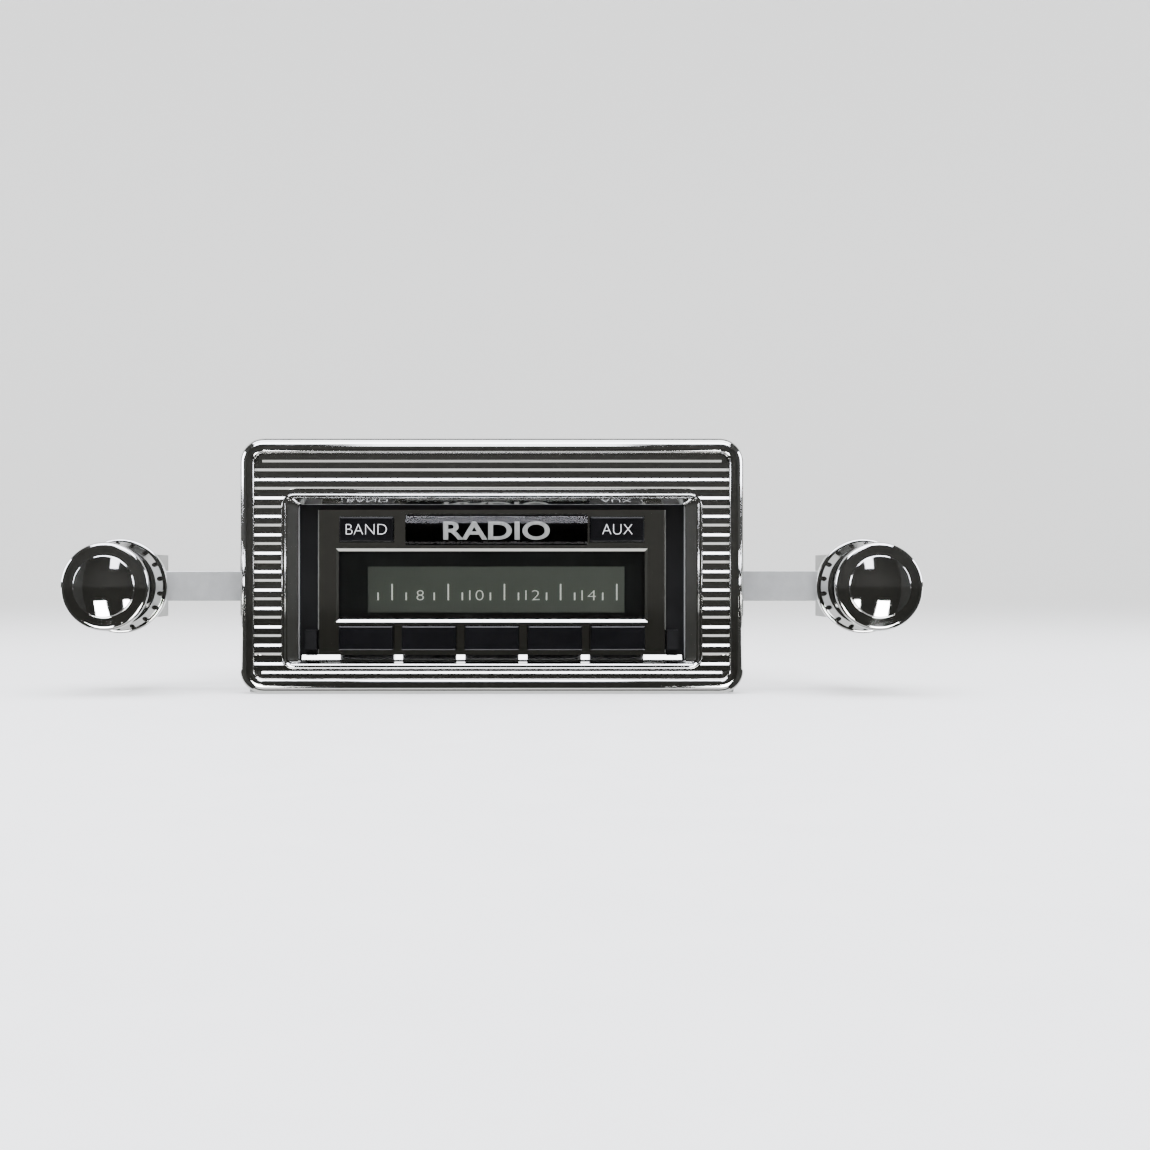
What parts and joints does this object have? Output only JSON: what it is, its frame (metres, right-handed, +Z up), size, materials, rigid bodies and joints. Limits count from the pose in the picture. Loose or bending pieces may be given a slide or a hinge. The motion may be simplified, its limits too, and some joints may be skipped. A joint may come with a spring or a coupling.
{
  "type": "car radio",
  "caption": "Classic dash car radio: ribbed chrome bezel, recessed plated nose with dial display and push keys, concentric knobs on side brackets, steel chassis behind.",
  "frame": {"origin": "middle of the bezel's outline, on the plane where the back of the bezel meets the front of the dash", "axes": "+X to the viewer's right, +Y into the dash, away from the viewer, +Z up"},
  "size_m": [0.2502, 0.1545, 0.076],
  "materials": {
    "chrome_bezel": "bright chrome plating on a moulded bezel",
    "chrome_nose": "bright chrome plating on the moulded nose",
    "chrome_knob": "polished chrome",
    "chrome_ring": "polished chrome with notches",
    "plated_steel": "zinc plated steel",
    "zinc_sheet": "zinc coated sheet steel",
    "zinc_casting": "dull zinc housing",
    "black_moulding": "fine grained black moulding",
    "dark_screw": "black oxide steel",
    "clear_lens": "clear hard coated window",
    "black_film": "black printed film",
    "lcd": "grey green liquid crystal cell",
    "light_guide": "white light guide",
    "circuit_board": "green solder resist",
    "switch_black": "small black switches",
    "badge_black": "gloss black plate",
    "clear_dome": "clear domed moulding",
    "button_black": "gloss black keys",
    "brass_post": "turned brass",
    "connector_white": "natural nylon",
    "tinned_can": "tinned screening can",
    "capacitor_sleeve": "dark blue sleeve",
    "chip_black": "black moulded power package",
    "black_anodised": "black anodised extrusion",
    "gold_jack": "gold flashed shell",
    "connector_black": "black nylon shell",
    "lead_rubber": "black sheathed lead",
    "dial_print": "pale grey dial marks",
    "white_print": "white paint of the key words",
    "brushed_print": "brushed letters under the badge's cap"
  },
  "bodies": {
    "chassis": {"bezel": "chrome_bezel", "nose_frame": "chrome_nose", "bezel_studs": "plated_steel", "bezel_stud_nuts": "plated_steel", "front_plate": "zinc_sheet", "nose_shell": "black_moulding", "nose_screws": "dark_screw", "display_lens": "clear_lens", "display_mask": "black_film", "lcd_glass": "lcd", "lcd_backlight": "light_guide", "display_board": "circuit_board", "display_board_screws": "dark_screw", "tact_switches": "switch_black", "badge_plate": "badge_black", "badge_lens": "clear_dome", "control_nuts": "plated_steel", "bracket_screws": "plated_steel", "chassis_tray": "zinc_sheet", "top_cover": "zinc_sheet", "cover_screws": "plated_steel", "rear_panel": "zinc_sheet", "board_spacers": "brass_post", "board_screws": "plated_steel", "main_board": "circuit_board", "board_connector": "connector_white", "tuner_module": "tinned_can", "capacitors": "capacitor_sleeve", "amplifier": "chip_black", "heat_sink": "black_anodised", "rear_stud": "plated_steel", "antenna_socket": "plated_steel", "rca_jacks": "gold_jack", "harness_socket": "connector_black", "escutcheon_left": "chrome_knob", "control_left": "zinc_casting", "bracket_left": "zinc_sheet", "lead_left": "lead_rubber", "escutcheon_right": "chrome_knob", "control_right": "zinc_casting", "bracket_right": "zinc_sheet", "lead_right": "lead_rubber"},
    "knob_body_left": {"knob_left": "chrome_knob", "spindle_left": "brass_post", "grub_screw_left": "dark_screw"},
    "ring_body_left": {"ring_knob_left": "chrome_ring", "sleeve_left": "plated_steel"},
    "knob_body_right": {"knob_right": "chrome_knob", "spindle_right": "brass_post", "grub_screw_right": "dark_screw"},
    "ring_body_right": {"ring_knob_right": "chrome_ring", "sleeve_right": "plated_steel"},
    "preset_button_1_body": {"preset_button_1": "button_black"},
    "preset_button_2_body": {"preset_button_2": "button_black"},
    "preset_button_3_body": {"preset_button_3": "button_black"},
    "preset_button_4_body": {"preset_button_4": "button_black"},
    "preset_button_5_body": {"preset_button_5": "button_black"},
    "band_button_body": {"band_button": "button_black"},
    "aux_button_body": {"aux_button": "button_black"}
  },
  "joints": [
    {"name": "volume_turn", "type": "hinge", "parent": "chassis", "child": "knob_body_left", "pos_m": [-0.111, -0.02, -0.006], "axis": [0, 1, 0], "range_deg": [0, 300]},
    {"name": "tone_ring_turn", "type": "hinge", "parent": "chassis", "child": "ring_body_left", "pos_m": [-0.111, -0.006, -0.006], "axis": [0, 1, 0], "range_deg": [-135, 135]},
    {"name": "tuning_turn", "type": "hinge", "parent": "chassis", "child": "knob_body_right", "pos_m": [0.111, -0.02, -0.006], "axis": [0, 1, 0], "continuous": true},
    {"name": "fader_ring_turn", "type": "hinge", "parent": "chassis", "child": "ring_body_right", "pos_m": [0.111, -0.006, -0.006], "axis": [0, 1, 0], "range_deg": [-135, 135]},
    {"name": "preset_button_1_press", "type": "slide", "parent": "chassis", "child": "preset_button_1_body", "axis": [0, 1, 0], "range_m": [0, 0.001], "stiffness_N_per_m": 1200, "springref_m": -0.0002},
    {"name": "preset_button_2_press", "type": "slide", "parent": "chassis", "child": "preset_button_2_body", "axis": [0, 1, 0], "range_m": [0, 0.001], "stiffness_N_per_m": 1200, "springref_m": -0.0002},
    {"name": "preset_button_3_press", "type": "slide", "parent": "chassis", "child": "preset_button_3_body", "axis": [0, 1, 0], "range_m": [0, 0.001], "stiffness_N_per_m": 1200, "springref_m": -0.0002},
    {"name": "preset_button_4_press", "type": "slide", "parent": "chassis", "child": "preset_button_4_body", "axis": [0, 1, 0], "range_m": [0, 0.001], "stiffness_N_per_m": 1200, "springref_m": -0.0002},
    {"name": "preset_button_5_press", "type": "slide", "parent": "chassis", "child": "preset_button_5_body", "axis": [0, 1, 0], "range_m": [0, 0.001], "stiffness_N_per_m": 1200, "springref_m": -0.0002},
    {"name": "band_button_press", "type": "slide", "parent": "chassis", "child": "band_button_body", "axis": [0, 1, 0], "range_m": [0, 0.001], "stiffness_N_per_m": 1200, "springref_m": -0.0002},
    {"name": "aux_button_press", "type": "slide", "parent": "chassis", "child": "aux_button_body", "axis": [0, 1, 0], "range_m": [0, 0.001], "stiffness_N_per_m": 1200, "springref_m": -0.0002}
  ]
}
